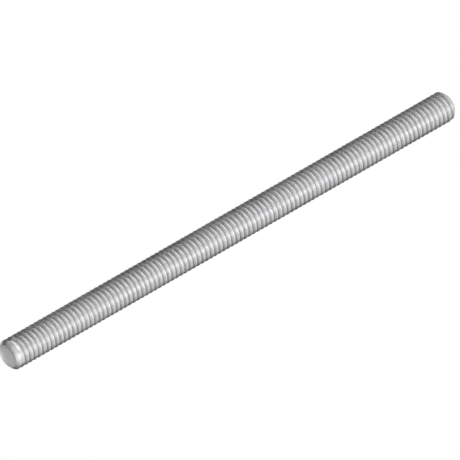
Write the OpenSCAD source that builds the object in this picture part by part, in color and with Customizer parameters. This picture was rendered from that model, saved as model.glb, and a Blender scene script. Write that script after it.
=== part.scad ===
// A fully threaded rod: one bar with a right-hand thread rolled from end to end
// and a flat, chamfered face at each end. At the first end the groove fades in
// behind the chamfer, and at the other it runs out through it. The axis lies along
// X, +Z is up, and the origin is the centre of the end face that looks along -X.

/* [Rod] */
// Outer diameter, measured over the crests
rod_d = 3.9; // [3:0.1:8]
// Length over the two end faces
rod_len = 72; // [30:1:90]

/* [Thread] */
// Distance along the axis from one crest to the next
pitch = 0.7; // [0.6:0.05:1.25]
// Depth from crest to root
thread_depth = 0.43; // [0.2:0.01:0.6]
// Width of the flat along each crest
crest_w = 0.09; // [0.03:0.01:0.2]
// Where the crest meets the first end face, in turns from +Y towards +Z
start_turn = 0.15; // [0:0.05:1]
// Where the groove starts near that face, in turns from +Y towards +Z
groove_start = 0.4; // [0:0.05:2]
// Turns over which the groove then deepens to its full depth
fade_in = 1; // [0.1:0.1:2]

/* [Ends] */
// How far the chamfer comes in from the crests, measured along the radius
chamfer_drop = 0.48; // [0.2:0.02:0.9]
// Slope of the chamfer, measured from the axis
chamfer_deg = 45; // [30:1:60]

/* [Hidden] */
steel = [0.72, 0.73, 0.75];
rod_r = rod_d / 2;
face_r = rod_r - chamfer_drop;
// Spare radius of the blank, so that it trims only the ends of the thread
blank_gap = 0.05;
blank_r = rod_r + blank_gap;
chamfer_len = (chamfer_drop + blank_gap) / tan(chamfer_deg);
// Whole turns drawn past each end, and then trimmed
overrun = 2;
turns = rod_len / pitch + 2 * overrun + 1;
// Straight sides in one turn: a multiple of four, as many as this number of
// triangles allows for the whole thread
triangle_budget = 11000;
corners = 3;
sides = max(8, min(36, 4 * floor(triangle_budget / (2 * corners * turns) / 4)));
steps = ceil(turns * sides);

// One turn's section as [distance along the axis, depth below the crest]: crest, crest, root
section = [
    [-crest_w / 2, 0],
    [crest_w / 2, 0],
    [pitch / 2, thread_depth],
];

// Place along the axis of the crest's middle at step k of the helix
function crest_x(k) = pitch * (k / sides - overrun - start_turn);

// Share of the full depth that the groove has at step k: an even rise from 0 to 1
function fade(k) = max(0, min(1, (k / sides - overrun - groove_start) / fade_in));

// Corner j of the section at step k
function corner(k, j) =
    let (a = 360 * k / sides, r = rod_r - fade(k) * section[j][1])
    [crest_x(k) + section[j][0], r * cos(a), r * sin(a)];

// Number of corner j at step k in the list of points
function at(k, j) = k * corners + j;

// Two triangles between the points p, q at one step and r, s at the next
function patch(p, q, r, s) = [[p, q, r], [q, s, r]];

// Triangles from one point to each side of a closed loop of points
function fan(tip, loop) =
    [for (i = [0 : len(loop) - 1]) [tip, loop[i], loop[(i + 1) % len(loop)]]];

// The bar with its thread, solid to the axis and longer than the rod
module thread() {
    last = corners - 1;
    shell = [for (k = [0 : steps], j = [0 : last]) corner(k, j)];
    tips = [[crest_x(0) - pitch, 0, 0], [crest_x(steps) + pitch, 0, 0]];
    // The crest and the flank behind it, then the flank up to the next turn's crest
    strips = [for (k = [0 : steps - 1], j = [0 : last - 1])
        each patch(at(k, j), at(k, j + 1), at(k + 1, j), at(k + 1, j + 1))];
    joins = [for (k = [0 : steps - sides - 1])
        each patch(at(k, last), at(k + sides, 0), at(k + 1, last), at(k + sides + 1, 0))];
    // The open edge of the thread at each end
    first_edge = [for (k = [0 : sides]) at(k, 0), for (j = [last : -1 : 1]) at(0, j)];
    last_edge = [for (j = [0 : last]) at(steps, j), for (k = [steps - 1 : -1 : steps - sides]) at(k, last)];
    polyhedron(
        concat(shell, tips),
        concat(strips, joins, fan(len(shell), first_edge), fan(len(shell) + 1, last_edge))
    );
}

// The turned blank at its full length, with the flat faces and the chamfers
module blank() {
    rotate([0, 90, 0]) rotate_extrude($fn = 96) polygon([
        [0, 0],
        [face_r, 0],
        [blank_r, chamfer_len],
        [blank_r, rod_len - chamfer_len],
        [face_r, rod_len],
        [0, rod_len],
    ]);
}

module threaded_rod() {
    color(steel) intersection() {
        thread();
        blank();
    }
}

threaded_rod();
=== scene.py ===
"""Dresses a fully threaded steel rod: a fine mesh, its finishes and a pale studio."""

import logging
import math
from dataclasses import dataclass, field
from enum import Enum

import bpy
import numpy as np
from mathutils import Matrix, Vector


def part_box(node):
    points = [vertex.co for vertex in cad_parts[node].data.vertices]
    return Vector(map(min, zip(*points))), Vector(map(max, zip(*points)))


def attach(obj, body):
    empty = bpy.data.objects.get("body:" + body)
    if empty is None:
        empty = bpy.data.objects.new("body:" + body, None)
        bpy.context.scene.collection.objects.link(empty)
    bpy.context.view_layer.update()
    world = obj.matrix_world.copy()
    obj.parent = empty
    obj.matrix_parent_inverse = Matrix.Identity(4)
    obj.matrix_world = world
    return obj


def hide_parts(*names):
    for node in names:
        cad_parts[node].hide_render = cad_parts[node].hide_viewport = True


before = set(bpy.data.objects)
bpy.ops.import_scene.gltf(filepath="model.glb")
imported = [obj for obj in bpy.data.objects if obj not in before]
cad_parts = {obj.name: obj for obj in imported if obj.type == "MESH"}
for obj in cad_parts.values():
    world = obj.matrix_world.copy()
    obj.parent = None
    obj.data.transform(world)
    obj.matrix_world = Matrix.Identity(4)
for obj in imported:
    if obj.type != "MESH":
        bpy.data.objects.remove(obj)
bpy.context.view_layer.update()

ROD_NODE = "threaded_rod"
BODY = "root"
MM = 0.001
BUMP_DISTANCE = 0.02 * MM

logging.basicConfig(level=logging.INFO, format="%(levelname)s %(message)s")
log = logging.getLogger("threaded_rod")


class Zone(Enum):
    """The two finishes of the rod's surface, each with its material index."""

    THREAD = 0
    END = 1


# Geometry

def fillet(
    corner: tuple[float, float],
    before: tuple[float, float],
    after: tuple[float, float],
    radius: float,
    steps: int,
) -> list[tuple[float, float]]:
    """Rounds the corner between two straight lines of a section.

    Args:
        corner: Where the two lines meet.
        before: A point on the line that arrives at the corner.
        after: A point on the line that leaves it.
        radius: Radius of the rounding.
        steps: Straight steps along the arc.

    Returns:
        The points of the arc, from the arriving line to the leaving one.
    """
    c, a, b = (Vector(p) for p in (corner, before, after))
    way_in, way_out = (c - a).normalized(), (b - c).normalized()
    turn = way_in.angle(way_out)
    reach = radius * math.tan(turn / 2)
    start, end = c - way_in * reach, c + way_out * reach
    centre = c + (way_out - way_in).normalized() * (radius / math.cos(turn / 2))
    first, last = start - centre, end - centre
    arc = []
    for i in range(steps + 1):
        share = i / steps
        mix = math.sin((1 - share) * turn) * first + math.sin(share * turn) * last
        arc.append(tuple(centre + mix / math.sin(turn)))
    return arc


@dataclass(frozen=True)
class ThreadForm:
    """The section of one turn of the thread, in metres."""

    pitch: float = 0.7 * MM
    depth: float = 0.43 * MM
    crest_w: float = 0.09 * MM
    flank_deg: float = 30.0
    crest_round: float = 0.03 * MM
    root_round: float = 0.08 * MM
    round_steps: int = 2

    def section(self, outer_r: float) -> list[tuple[float, float]]:
        """Works out one turn's section.

        Args:
            outer_r: Radius of the rod over the crests.

        Returns:
            Points over one pitch, as (place along the axis from the crest's middle, radius).
        """
        crest_edge = self.crest_w / 2
        root_edge = crest_edge + self.depth * math.tan(math.radians(self.flank_deg))
        root_r = outer_r - self.depth
        crest, root = (crest_edge, outer_r), (root_edge, root_r)
        half = fillet(crest, (0.0, outer_r), root, self.crest_round, self.round_steps)
        half += fillet(
            root, crest, (self.pitch / 2, root_r), self.root_round, self.round_steps
        )
        return [(-x, r) for x, r in reversed(half)] + half


@dataclass
class RodMesh:
    """The bar itself: a right-hand helix along +X, cut to length by its flat, chamfered ends."""

    form: ThreadForm = field(default_factory=ThreadForm)
    start_turn: float = 0.15
    groove_start: float = 0.4
    fade_in: float = 1.0
    chamfer_drop: float = 0.48 * MM
    chamfer_deg: float = 45.0
    rim_round: float = 0.04 * MM
    dish_r: float = 1.42 * MM
    dish_depth: float = 0.13 * MM
    dish_power: float = 4.0
    dish_rings: int = 16
    sides: int = 60
    blank_sides: int = 144
    rim_steps: int = 3
    overrun: int = 2
    blank_gap: float = 0.05 * MM
    sharp_deg: float = 34.0
    end_slack: float = 0.004 * MM
    outer_r: float = 0.0
    length: float = 0.0

    def __post_init__(self) -> None:
        """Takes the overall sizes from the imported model."""
        low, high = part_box(ROD_NODE)
        self.length = high.x - low.x
        self.outer_r = (high.y - low.y) / 2
        self.start_x = low.x

    @property
    def face_r(self) -> float:
        """Radius of the flat face at each end, out to where the chamfer's line meets it."""
        return self.outer_r - self.chamfer_drop

    @property
    def chamfer_slope(self) -> float:
        """Rise of the chamfer's radius for each unit along the axis."""
        return math.tan(math.radians(self.chamfer_deg))

    def helix(self) -> bpy.types.Object:
        """Builds the endless thread as a closed solid, longer than the rod at both ends."""
        section = np.array(self.form.section(self.outer_r))
        count = len(section)
        turns = math.ceil(self.length / self.form.pitch) + 2 * self.overrun + 1
        steps = turns * self.sides
        k = np.arange(steps + 1)
        angle = 2 * math.pi * k / self.sides
        turns_in = k / self.sides - self.overrun - self.start_turn
        middle = self.start_x + self.form.pitch * turns_in
        x = middle[:, None] + section[None, :, 0]
        turn = k[:, None] / self.sides - self.overrun - (section[None, :, 0] < 0)
        depth = (self.outer_r - section[None, :, 1]) * self.fade(turn)
        y = np.cos(angle)[:, None] * (self.outer_r - depth)
        z = np.sin(angle)[:, None] * (self.outer_r - depth)
        points = np.stack([x, y, z], axis=2).reshape(-1, 3)
        tips = [
            (middle[0] - self.form.pitch, 0, 0),
            (middle[-1] + self.form.pitch, 0, 0),
        ]
        at = k[:, None] * count + np.arange(count)[None, :]
        corners = [at[:-1, :-1], at[:-1, 1:], at[1:, 1:], at[1:, :-1]]
        within = np.stack(corners, axis=2).reshape(-1, 4)
        here, there = at[:-self.sides, -1], at[self.sides:, 0]
        across = np.stack([here[:-1], there[:-1], there[1:], here[1:]], axis=1)
        first = list(at[:self.sides + 1, 0]) + list(at[0, :0:-1])
        last = list(at[-1, :]) + list(at[-2:-self.sides - 2:-1, -1])
        faces = np.vstack([within, across]).tolist()
        for tip, loop in ((len(points), first), (len(points) + 1, last)):
            following = loop[1:] + loop[:1]
            faces += [(tip, int(p), int(q)) for p, q in zip(loop, following)]
        mesh = bpy.data.meshes.new("helix")
        mesh.from_pydata(np.vstack([points, tips]).tolist(), [], faces)
        return link(bpy.data.objects.new("helix", mesh))

    def fade(self, turn: np.ndarray) -> np.ndarray:
        """Gives the share of its full depth that the groove has near the first end.

        Args:
            turn: Turns of the helix, counted as start_turn is.

        Returns:
            An even rise from 0 where the groove starts to 1.
        """
        return np.clip((turn - self.groove_start) / self.fade_in, 0.0, 1.0)

    def blank(self) -> bpy.types.Object:
        """Turns the blank that gives the thread its length, end faces and chamfers."""
        wide = self.outer_r + self.blank_gap
        reach = (wide - self.face_r) / self.chamfer_slope
        rim = fillet(
            (0.0, self.face_r), (0.0, 0.0), (reach, wide), self.rim_round, self.rim_steps
        )
        near = self.dish() + rim + [(reach, wide)]
        far = [(self.length - x, r) for x, r in reversed(near)]
        return self.lathe("blank", near + far)

    def dish(self) -> list[tuple[float, float]]:
        """Draws the slight hollow that the cutting tool leaves in an end face.

        Returns:
            Points from near the axis out to the flat land inside the rim.
        """
        shares = [(i + 1) / self.dish_rings for i in range(self.dish_rings)]
        bowl = [
            (self.dish_depth * (1 - share ** self.dish_power), self.dish_r * share)
            for share in shares
        ]
        land_end = self.face_r - self.rim_round
        return bowl + [(0.0, land_end)]

    def lathe(self, name: str, outline: list[tuple[float, float]]) -> bpy.types.Object:
        """Turns an outline about the rod's axis.

        Args:
            name: Name of the new object.
            outline: Points as (place along the axis, radius), from end to end.

        Returns:
            A closed solid of revolution with one flat face at each end.
        """
        n = self.blank_sides
        angles = [2 * math.pi * i / n for i in range(n)]
        points = [
            (self.start_x + x, r * math.cos(angle), r * math.sin(angle))
            for x, r in outline for angle in angles
        ]
        faces = [
            (j * n + i, j * n + (i + 1) % n, (j + 1) * n + (i + 1) % n, (j + 1) * n + i)
            for j in range(len(outline) - 1) for i in range(n)
        ]
        faces.append(tuple(range(n - 1, -1, -1)))
        faces.append(tuple((len(outline) - 1) * n + i for i in range(n)))
        mesh = bpy.data.meshes.new(name)
        mesh.from_pydata(points, [], faces)
        return link(bpy.data.objects.new(name, mesh))

    def build(self) -> bpy.types.Object:
        """Trims the thread with the blank and marks which faces belong to the ends.

        Returns:
            The finished rod as one closed mesh.
        """
        helix, blank = self.helix(), self.blank()
        for part in (helix, blank):
            outwards(part.data)
        cut = helix.modifiers.new("trim", "BOOLEAN")
        cut.operation = "INTERSECT"
        cut.solver = "MANIFOLD"
        cut.object = blank
        bpy.context.view_layer.update()
        trimmed = helix.evaluated_get(bpy.context.evaluated_depsgraph_get())
        mesh = bpy.data.meshes.new_from_object(trimmed)
        mesh.name = "rolled_rod"
        for part in (helix, blank):
            bpy.data.objects.remove(part)
        rod = link(bpy.data.objects.new("rolled_rod", mesh))
        self.mark_ends(mesh)
        mesh.shade_smooth()
        mesh.set_sharp_from_angle(angle=math.radians(self.sharp_deg))
        return rod

    def mark_ends(self, mesh: bpy.types.Mesh) -> None:
        """Gives the end faces and chamfers their own material index.

        Args:
            mesh: The trimmed rod.
        """
        close = self.end_slack
        co = np.zeros(len(mesh.vertices) * 3)
        mesh.vertices.foreach_get("co", co)
        co = co.reshape(-1, 3)
        along = co[:, 0] - self.start_x
        from_end = np.minimum(along, self.length - along)
        radius = np.hypot(co[:, 1], co[:, 2])
        on_cut = radius > self.face_r + from_end * self.chamfer_slope - close
        on_cut |= from_end < close
        on_cut |= (from_end < self.dish_depth + close) & (radius < self.face_r)
        for polygon in mesh.polygons:
            whole = all(on_cut[v] for v in polygon.vertices)
            polygon.material_index = (Zone.END if whole else Zone.THREAD).value


def link(piece: bpy.types.Object) -> bpy.types.Object:
    """Adds an object to the scene and returns it."""
    bpy.context.scene.collection.objects.link(piece)
    return piece


def outwards(mesh: bpy.types.Mesh) -> None:
    """Turns a closed mesh the right way out if its signed volume is negative.

    Args:
        mesh: The closed mesh to test and mend.
    """
    mesh.calc_loop_triangles()
    volume = 0.0
    for triangle in mesh.loop_triangles:
        a, b, c = (mesh.vertices[i].co for i in triangle.vertices)
        volume += a.dot(b.cross(c))
    if volume < 0:
        mesh.flip_normals()


# Finishes

class Nodes:
    """A short way to add and join shader nodes in one tree."""

    def __init__(self, tree: bpy.types.NodeTree) -> None:
        """Keeps the tree that the nodes go into."""
        self.tree = tree

    def add(self, kind: str, **inputs: object) -> bpy.types.Node:
        """Adds a node and sets or joins its inputs.

        Args:
            kind: Blender's name for the node type.
            **inputs: Values or output sockets by input name, with underscores for
                spaces. A name that starts with in_ gives the input's number, and one that
                starts with set_ is a property of the node.

        Returns:
            The new node.
        """
        node = self.tree.nodes.new(kind)
        for name, value in inputs.items():
            if name.startswith("set_"):
                setattr(node, name[4:], value)
        for name, value in inputs.items():
            if name.startswith("set_"):
                continue
            key = int(name[3:]) if name.startswith("in_") else name.replace("_", " ")
            socket = node.inputs[key]
            if isinstance(value, bpy.types.NodeSocket):
                self.tree.links.new(value, socket)
            else:
                socket.default_value = value
        return node

    def math(self, operation: str, *values: object) -> bpy.types.NodeSocket:
        """Adds a Math node and returns its output."""
        numbered = {f"in_{i}": value for i, value in enumerate(values)}
        return self.add("ShaderNodeMath", set_operation=operation, **numbered).outputs[0]

    def span(
        self, value: object, low: float, high: float, to_low: float, to_high: float
    ) -> bpy.types.NodeSocket:
        """Maps a value from one range to another, held within it, and returns the output."""
        node = self.add(
            "ShaderNodeMapRange", Value=value,
            From_Min=low, From_Max=high, To_Min=to_low, To_Max=to_high,
        )
        return node.outputs["Result"]

    def noise(
        self, vector: object, scale: object, detail: float, rough: float = 0.5
    ) -> bpy.types.NodeSocket:
        """Adds a noise texture and returns its value."""
        node = self.add(
            "ShaderNodeTexNoise", Vector=vector, Scale=scale, Detail=detail, Roughness=rough
        )
        return node.outputs[0]

    def mix(self, amount: object, first: object, second: object) -> bpy.types.NodeSocket:
        """Adds a mix of two colours and returns its output."""
        node = self.add(
            "ShaderNodeMix", set_data_type="RGBA", in_0=amount, in_6=first, in_7=second
        )
        return node.outputs[2]

    def bump(self, height: object, strength: float) -> bpy.types.NodeSocket:
        """Adds a bump of a few hundredths of a millimetre and returns its normal."""
        node = self.add(
            "ShaderNodeBump", Height=height, Strength=strength, Distance=BUMP_DISTANCE
        )
        return node.outputs[0]


def new_group(
    name: str, inputs: dict[str, float], outputs: dict[str, str]
) -> bpy.types.NodeTree:
    """Makes an empty shader node group with its sockets.

    Args:
        name: Name of the group.
        inputs: Default value of each float input, by name.
        outputs: Socket type of each output, by name.

    Returns:
        The group's tree, with Group Input and Group Output nodes.
    """
    tree = bpy.data.node_groups.new(name, "ShaderNodeTree")
    for label, value in inputs.items():
        socket = tree.interface.new_socket(label, in_out="INPUT", socket_type="NodeSocketFloat")
        socket.default_value = value
    for label, kind in outputs.items():
        tree.interface.new_socket(label, in_out="OUTPUT", socket_type=kind)
    tree.nodes.new("NodeGroupInput")
    tree.nodes.new("NodeGroupOutput")
    return tree


def round_bar_group() -> bpy.types.NodeTree:
    """Builds the group that gives a point's place on a round bar along X.

    Returns:
        A group with two outputs. Radius is in metres. Ring is a vector that stays the same
        all along a circle round the bar, apart from a slow drift, so that noise on it makes
        turning marks.
    """
    least_radius = 0.05 * MM
    tree = new_group(
        "round_bar",
        {"Drift": 0.4 * MM},
        {"Radius": "NodeSocketFloat", "Ring": "NodeSocketVector"},
    )
    n = Nodes(tree)
    start, end = tree.nodes["Group Input"], tree.nodes["Group Output"]
    place = n.add("ShaderNodeTexCoord").outputs["Object"]
    split = n.add("ShaderNodeSeparateXYZ", Vector=place)
    y2 = n.math("MULTIPLY", split.outputs["Y"], split.outputs["Y"])
    z2 = n.math("MULTIPLY", split.outputs["Z"], split.outputs["Z"])
    radius = n.math("SQRT", n.math("ADD", y2, z2))
    side = n.math("DIVIDE", split.outputs["Y"], n.math("MAXIMUM", radius, least_radius))
    drift = n.math("MULTIPLY", side, start.outputs["Drift"])
    ring = n.add("ShaderNodeCombineXYZ", X=split.outputs["X"], Y=radius, Z=drift)
    tree.links.new(radius, end.inputs["Radius"])
    tree.links.new(ring.outputs[0], end.inputs["Ring"])
    return tree


def handling_group() -> bpy.types.NodeTree:
    """Builds the group for the marks that storage and handling leave on bright steel.

    Returns:
        A group with two outputs, both from 0 to 1. Smudge is a slow change of gloss, and
        Scratch is fine short marks.
    """
    scratch_turn = (0.5, 0.9, 0.4)
    scratch_stretch = (1.0, 0.12, 0.5)
    smudge_range = (0.32, 0.68)
    scratch_range = (0.56, 0.7)
    tree = new_group(
        "handling",
        {"Smudge Scale": 260.0, "Scratch Scale": 5200.0},
        {"Smudge": "NodeSocketFloat", "Scratch": "NodeSocketFloat"},
    )
    n = Nodes(tree)
    start, end = tree.nodes["Group Input"], tree.nodes["Group Output"]
    place = n.add("ShaderNodeTexCoord").outputs["Object"]
    smudge = n.noise(place, start.outputs["Smudge Scale"], 4.0, 0.6)
    turned = n.add(
        "ShaderNodeMapping", Vector=place, Rotation=scratch_turn, Scale=scratch_stretch
    )
    marks = n.noise(turned.outputs[0], start.outputs["Scratch Scale"], 3.0)
    tree.links.new(n.span(smudge, *smudge_range, 0.0, 1.0), end.inputs["Smudge"])
    tree.links.new(n.span(marks, *scratch_range, 0.0, 1.0), end.inputs["Scratch"])
    return tree


@dataclass(frozen=True)
class RolledSteel:
    """Thread as it leaves the rolling dies: burnished crests and duller flanks, with painted
    shade darkening the colour into the roots.

    Heights run from 0 at the root to 1 at the crest. Each stop of the painted groove shade is a
    height and the share of the way from the root's colour to the flank's. Pairs are values
    at the two ends of a noise range.
    """

    crest_colour: tuple[float, float, float] = (0.72, 0.72, 0.73)
    flank_colour: tuple[float, float, float] = (0.68, 0.68, 0.69)
    # Darker root colour: painted shade in the grooves.
    root_shade_colour: tuple[float, float, float] = (0.48, 0.48, 0.485)
    crest_rough: float = 0.32
    root_rough: float = 0.42
    streak_scale: float = 26000.0
    streak_range: tuple[float, float] = (0.3, 0.7)
    streak_shade: tuple[float, float] = (0.86, 1.0)
    streak_rough: tuple[float, float] = (-0.05, 0.07)
    smudge_rough: tuple[float, float] = (-0.03, 0.05)
    smudge_shift: float = 0.16
    # Stops of the painted groove shade, from root towards crest.
    groove_shade_stops: tuple[tuple[float, float], ...] = ((0.22, 0.55), (0.45, 1.0), (0.86, 1.0))
    crest_from: float = 0.97
    rough_from: float = 0.1
    scratch_depth: float = 0.5
    bump: float = 0.12

    def material(self, groups: dict[str, bpy.types.NodeTree], rod: RodMesh) -> bpy.types.Material:
        """Builds the material.

        Args:
            groups: The shared node groups, by name.
            rod: The rod, for the radii of its crests and roots.

        Returns:
            The finished material.
        """
        material, n, shader = new_material("rolled_steel")
        bar = n.add("ShaderNodeGroup", set_node_tree=groups["round_bar"])
        wear = n.add("ShaderNodeGroup", set_node_tree=groups["handling"])
        root_r = rod.outer_r - rod.form.depth
        height = n.span(bar.outputs["Radius"], root_r, rod.outer_r, 0.0, 1.0)
        streaks = n.noise(bar.outputs["Ring"], self.streak_scale, 3.0, 0.6)
        wander = n.math("SUBTRACT", wear.outputs["Smudge"], 0.5)
        edge = n.math("ADD", height, n.math("MULTIPLY", wander, self.smudge_shift))
        # Painted shade: the colour darkens from crest to root, standing in for the shade in the
        # grooves.
        ramp = self.ramp(n, edge)
        shade = n.span(streaks, *self.streak_range, *self.streak_shade)
        tint = n.add(
            "ShaderNodeMix", set_data_type="RGBA", set_blend_type="MULTIPLY", in_0=1.0,
            in_6=ramp,
            in_7=n.add("ShaderNodeCombineColor", Red=shade, Green=shade, Blue=shade).outputs[0],
        )
        n.tree.links.new(tint.outputs[2], shader.inputs["Base Color"])
        rough = n.span(height, self.rough_from, 1.0, self.root_rough, self.crest_rough)
        rough = n.math("ADD", rough, n.span(streaks, *self.streak_range, *self.streak_rough))
        rough = n.math("ADD", rough, n.span(wear.outputs["Smudge"], 0.0, 1.0, *self.smudge_rough))
        n.tree.links.new(rough, shader.inputs["Roughness"])
        scratches = n.math("MULTIPLY", wear.outputs["Scratch"], self.scratch_depth)
        relief = n.math("SUBTRACT", streaks, scratches)
        n.tree.links.new(n.bump(relief, self.bump), shader.inputs["Normal"])
        shader.inputs["Metallic"].default_value = 1.0
        return material

    def ramp(self, n: Nodes, height: bpy.types.NodeSocket) -> bpy.types.NodeSocket:
        """Adds the colour ramp from root to crest, a painted shade that darkens the thread
        towards its roots.

        Args:
            n: The helper for the material's tree.
            height: The height up the thread.

        Returns:
            The ramp's colour.
        """
        node = n.add("ShaderNodeValToRGB", Fac=height)
        stops = node.color_ramp.elements
        stops[0].position, stops[0].color = 0.0, (*self.root_shade_colour, 1.0)
        stops[1].position, stops[1].color = self.crest_from, (*self.crest_colour, 1.0)
        pairs = list(zip(self.root_shade_colour, self.flank_colour))
        for position, share in self.groove_shade_stops:
            stop = stops.new(position)
            stop.color = (*(root + (flank - root) * share for root, flank in pairs), 1.0)
        return node.outputs[0]


@dataclass(frozen=True)
class CutSteel:
    """Bar end faced and chamfered with a tool: fine concentric marks and a few scratches.

    The chamfer's colour is lighter than the face's, a painted highlight, and its gloss is more
    open.
    """

    colour: tuple[float, float, float] = (0.74, 0.74, 0.75)
    mark_colour: tuple[float, float, float] = (0.66, 0.66, 0.67)
    # Lighter chamfer colour: a painted highlight on the chamfer.
    chamfer_highlight_colour: tuple[float, float, float] = (0.8, 0.8, 0.805)
    rough: float = 0.22
    chamfer_rough: float = 0.5
    ring_scale: float = 21000.0
    ring_range: tuple[float, float] = (0.35, 0.65)
    smudge_rough: tuple[float, float] = (-0.05, 0.07)
    scratch_rough: float = 0.08
    scratch_depth: float = 0.6
    bump: float = 0.18

    def material(self, groups: dict[str, bpy.types.NodeTree], rod: RodMesh) -> bpy.types.Material:
        """Builds the material.

        Args:
            groups: The shared node groups, by name.
            rod: The rod, for the radius where the face ends and the chamfer starts.

        Returns:
            The finished material.
        """
        material, n, shader = new_material("cut_steel")
        bar = n.add("ShaderNodeGroup", set_node_tree=groups["round_bar"])
        wear = n.add("ShaderNodeGroup", set_node_tree=groups["handling"])
        rings = n.noise(bar.outputs["Ring"], self.ring_scale, 3.0, 0.65)
        marks = n.span(rings, *self.ring_range, 0.0, 1.0)
        face = n.mix(marks, (*self.mark_colour, 1.0), (*self.colour, 1.0))
        # Painted highlight: the chamfer takes a lighter colour than the face, blended in across
        # the rim.
        inner, outer = rod.face_r - rod.rim_round, rod.face_r + rod.rim_round
        edge = n.span(bar.outputs["Radius"], inner, outer, 0.0, 1.0)
        whole = n.mix(edge, face, (*self.chamfer_highlight_colour, 1.0))
        n.tree.links.new(whole, shader.inputs["Base Color"])
        less, more = (self.rough + change for change in self.smudge_rough)
        rough = n.span(wear.outputs["Smudge"], 0.0, 1.0, less, more)
        scratch_rough = n.math("MULTIPLY", wear.outputs["Scratch"], self.scratch_rough)
        rough = n.math("ADD", rough, scratch_rough)
        rough = n.math("ADD", rough, n.math("MULTIPLY", edge, self.chamfer_rough - self.rough))
        n.tree.links.new(rough, shader.inputs["Roughness"])
        scratches = n.math("MULTIPLY", wear.outputs["Scratch"], self.scratch_depth)
        relief = n.math("SUBTRACT", rings, scratches)
        n.tree.links.new(n.bump(relief, self.bump), shader.inputs["Normal"])
        shader.inputs["Metallic"].default_value = 1.0
        return material


@dataclass(frozen=True)
class PaleFloor:
    """White studio floor.

    In reflections alone it has a dark oval under the rod, a painted shadow that darkens the rod's
    lower side.
    """

    colour: tuple[float, float, float] = (0.12, 0.12, 0.12)
    seen_glow: float = 0.92
    glossy_glow: float = 0.8
    # The oval's settings: a painted shadow that only reflections see.
    shadow_oval_glow: float = 0.03
    shadow_oval_middle: tuple[float, float] = (0.25, 0.55)
    shadow_oval_half: tuple[float, float] = (0.92, 1.5)
    shadow_oval_turn: float = math.radians(-15.0)
    shadow_oval_edge: tuple[float, float] = (0.88, 1.08)
    rough: float = 0.95

    def material(self) -> bpy.types.Material:
        """Builds the material.

        Returns:
            A matt material that glows for camera, glossy and transmission rays alone. Rough
            surfaces get no light from the glow.
        """
        material, n, shader = new_material("pale_floor")
        ray = n.add("ShaderNodeLightPath").outputs
        place = n.add("ShaderNodeTexCoord").outputs["Object"]
        # Painted shadow: a dark oval in the floor, seen only by glossy and transmission rays,
        # darkening the rod's lower side.
        oval = n.add(
            "ShaderNodeMapping", Vector=place, set_vector_type="TEXTURE",
            Location=(*self.shadow_oval_middle, 0.0),
            Rotation=(0.0, 0.0, self.shadow_oval_turn),
            Scale=(*self.shadow_oval_half, 1.0),
        )
        length = n.add("ShaderNodeVectorMath", set_operation="LENGTH", Vector=oval.outputs[0])
        reach = length.outputs["Value"]
        level = n.span(reach, *self.shadow_oval_edge, self.shadow_oval_glow, self.glossy_glow)
        mirrored = n.math("MAXIMUM", ray["Is Glossy Ray"], ray["Is Transmission Ray"])
        seen = n.math("MULTIPLY", ray["Is Camera Ray"], self.seen_glow)
        glow = n.math("MAXIMUM", seen, n.math("MULTIPLY", mirrored, level))
        n.tree.links.new(glow, shader.inputs["Emission Strength"])
        shader.inputs["Emission Color"].default_value = (1.0, 1.0, 1.0, 1.0)
        shader.inputs["Base Color"].default_value = (*self.colour, 1.0)
        shader.inputs["Roughness"].default_value = self.rough
        shader.inputs["Specular IOR Level"].default_value = 0.0
        return material


def new_material(name: str) -> tuple[bpy.types.Material, Nodes, bpy.types.Node]:
    """Makes a material that holds only its shader and output.

    Args:
        name: Name of the material.

    Returns:
        The material, a helper for its tree, and its Principled shader.
    """
    material = bpy.data.materials.new(name)
    material.use_nodes = True
    return material, Nodes(material.node_tree), material.node_tree.nodes["Principled BSDF"]


@dataclass
class ThreadedRod:
    """The whole part: its mesh, its two finishes and its place on the frame."""

    mesh: RodMesh = field(default_factory=RodMesh)
    thread_finish: RolledSteel = field(default_factory=RolledSteel)
    end_finish: CutSteel = field(default_factory=CutSteel)

    def build(self) -> bpy.types.Object:
        """Builds and dresses the rod, and sets it on the frame.

        Returns:
            The rod's object.
        """
        rod = self.mesh.build()
        groups = {"round_bar": round_bar_group(), "handling": handling_group()}
        rod.data.materials.clear()
        rod.data.materials.append(self.thread_finish.material(groups, self.mesh))
        rod.data.materials.append(self.end_finish.material(groups, self.mesh))
        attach(rod, BODY)
        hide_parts(ROD_NODE)
        return rod


# Studio

@dataclass(frozen=True)
class Softbox:
    """A large soft lamp, placed by direction from the rod's middle."""

    name: str
    azimuth_deg: float
    elevation_deg: float
    distance: float
    width: float
    height: float
    watts: float

    def hang(self, target: Vector) -> bpy.types.Object:
        """Adds the lamp to the scene.

        Args:
            target: The point that it faces.

        Returns:
            The lamp's object.
        """
        lamp = bpy.data.lights.new(self.name, "AREA")
        lamp.shape = "RECTANGLE"
        lamp.size, lamp.size_y = self.width, self.height
        lamp.energy = self.watts
        holder = link(bpy.data.objects.new(self.name, lamp))
        way = direction(self.azimuth_deg, self.elevation_deg)
        holder.location = target + way * self.distance
        holder.rotation_euler = way.to_track_quat("Z", "Y").to_euler()
        holder.visible_camera = False
        return holder


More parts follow.
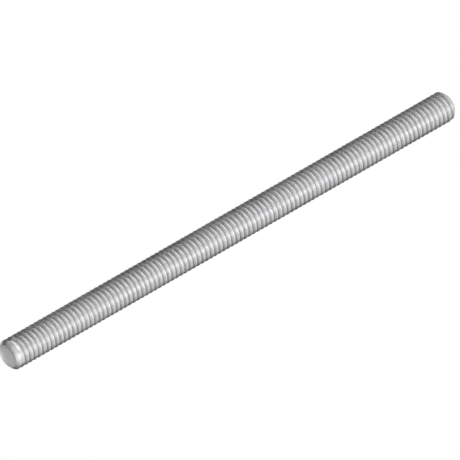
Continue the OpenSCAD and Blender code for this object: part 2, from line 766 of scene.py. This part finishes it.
@dataclass(frozen=True)
class Camera:
    """A long lens on the near end's side of the rod, looking down on it."""

    azimuth_deg: float = -43.044
    elevation_deg: float = 37.876
    distance: float = 2.4525
    lens_mm: float = 1600.0
    right: float = 0.123 * MM
    up: float = -0.049 * MM
    clip: tuple[float, float] = (0.1, 50.0)

    def place(self, middle: Vector) -> bpy.types.Object:
        """Adds the camera and makes it the scene's own.

        Args:
            middle: The middle of the rod.

        Returns:
            The camera's object.
        """
        data = bpy.data.cameras.new("camera")
        data.lens = self.lens_mm
        data.clip_start, data.clip_end = self.clip
        camera = link(bpy.data.objects.new("camera", data))
        way = direction(self.azimuth_deg, self.elevation_deg)
        turn = way.to_track_quat("Z", "Y")
        aim = middle + turn @ Vector((self.right, self.up, 0.0))
        camera.location = aim + way * self.distance
        camera.rotation_euler = turn.to_euler()
        bpy.context.scene.camera = camera
        return camera


def direction(azimuth_deg: float, elevation_deg: float) -> Vector:
    """Points from the rod towards a place in the studio.

    Args:
        azimuth_deg: 0 is the -Y side, and negative angles are towards -X.
        elevation_deg: Height above the horizon.

    Returns:
        A unit vector.
    """
    a, e = math.radians(azimuth_deg), math.radians(elevation_deg)
    return Vector((math.sin(a) * math.cos(e), -math.cos(a) * math.cos(e), math.sin(e)))


@dataclass(frozen=True)
class Studio:
    """Pale floor, soft lamps, and room light that fades towards the back."""

    floor_size: float = 12.0
    floor_gap: float = 1.2
    room_level: float = 0.75
    back_level: float = 0.03
    fade: tuple[float, float] = (-0.2, 0.5)
    lamps: tuple[Softbox, ...] = (
        Softbox("left_strip", -100.0, 12.0, 1.8, 1.0, 0.5, 3.5),
        Softbox("left_low_strip", -90.0, -18.0, 2.0, 1.3, 0.6, 6.0),
        Softbox("left_softbox", -52.0, -4.0, 2.4, 1.1, 0.9, 5.9),
        Softbox("low_softbox", -5.0, -4.0, 2.4, 1.8, 0.9, 7.5),
        Softbox("front_softbox", 5.0, 14.0, 2.4, 2.0, 0.8, 9.6),
        Softbox("high_left_softbox", -85.0, 52.0, 2.4, 2.0, 1.0, 5.3),
        Softbox("high_right_softbox", 40.0, 50.0, 2.4, 3.0, 1.2, 10.1),
        Softbox("back_softbox", 120.0, 46.0, 2.4, 1.6, 1.2, 7.5),
        Softbox("rim_softbox", -145.0, 30.0, 2.4, 1.2, 0.8, 3.1),
    )

    def build(self, rod: RodMesh, middle: Vector) -> None:
        """Sets up the floor, lamps and world.

        Args:
            rod: The rod, for the height of the floor under it.
            middle: The middle of the rod.
        """
        half = self.floor_size / 2
        mesh = bpy.data.meshes.new("floor")
        corners = [(-half, -half, 0), (half, -half, 0), (half, half, 0), (-half, half, 0)]
        mesh.from_pydata(corners, [], [(0, 1, 2, 3)])
        mesh.materials.append(PaleFloor().material())
        floor = link(bpy.data.objects.new("floor", mesh))
        floor.location = (middle.x, middle.y, middle.z - rod.outer_r - self.floor_gap)
        for lamp in self.lamps:
            lamp.hang(middle)
        world = bpy.data.worlds.new("room")
        world.use_nodes = True
        n = Nodes(world.node_tree)
        place = n.add("ShaderNodeTexCoord").outputs["Generated"]
        way = n.add("ShaderNodeSeparateXYZ", Vector=place).outputs["Y"]
        level = n.span(way, *self.fade, self.room_level, self.back_level)
        ray = n.add("ShaderNodeLightPath").outputs
        seen = n.math("MAXIMUM", level, ray["Is Camera Ray"])
        background = n.tree.nodes["Background"]
        n.tree.links.new(seen, background.inputs["Strength"])
        background.inputs["Color"].default_value = (1.0, 1.0, 1.0, 1.0)
        bpy.context.scene.world = world
        bpy.context.scene.view_settings.view_transform = "Standard"


def main() -> None:
    """Builds the rod, the studio and the camera in order, and reports the rod and the camera."""
    part = ThreadedRod()
    rod = part.build()
    on_ends = sum(p.material_index == Zone.END.value for p in rod.data.polygons)
    log.info("rod %s: %d faces, %d on the ends", rod.name, len(rod.data.polygons), on_ends)
    middle = Vector((part.mesh.start_x + part.mesh.length / 2, 0.0, 0.0))
    Studio().build(part.mesh, middle)
    camera = Camera().place(middle)
    log.info("camera %s at %s", camera.name, [round(v, 3) for v in camera.location])


if __name__ == "__main__":
    main()
